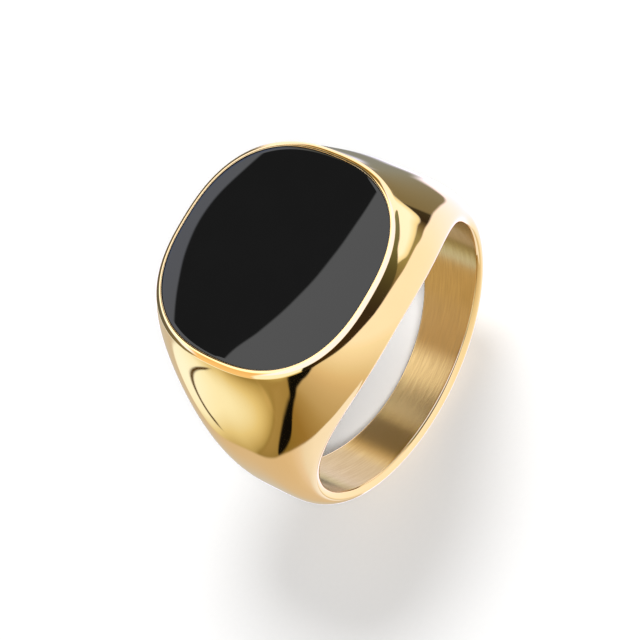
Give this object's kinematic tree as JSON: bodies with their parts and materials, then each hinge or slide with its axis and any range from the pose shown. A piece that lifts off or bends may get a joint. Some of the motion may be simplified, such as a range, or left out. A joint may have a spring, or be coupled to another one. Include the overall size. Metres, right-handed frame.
{
  "type": "signet ring",
  "caption": "Polished gold-tone signet ring: cushion-shaped head with a black domed inlay set in a thin rim, and shoulders that taper to a narrow band.",
  "frame": {"origin": "centre of the finger hole, midway between the ring's two sides", "axes": "+Y along the finger hole, +Z out through the middle of the face, +X and -X out through the shoulders"},
  "size_m": [0.0228, 0.0178, 0.0249],
  "materials": {
    "gold_metal": "polished",
    "adhesive": "satin",
    "black_stone": "polished"
  },
  "bodies": {
    "root": {"ring_body": "gold_metal", "adhesive_bed": "adhesive", "black_inlay": "black_stone"}
  },
  "joints": []
}
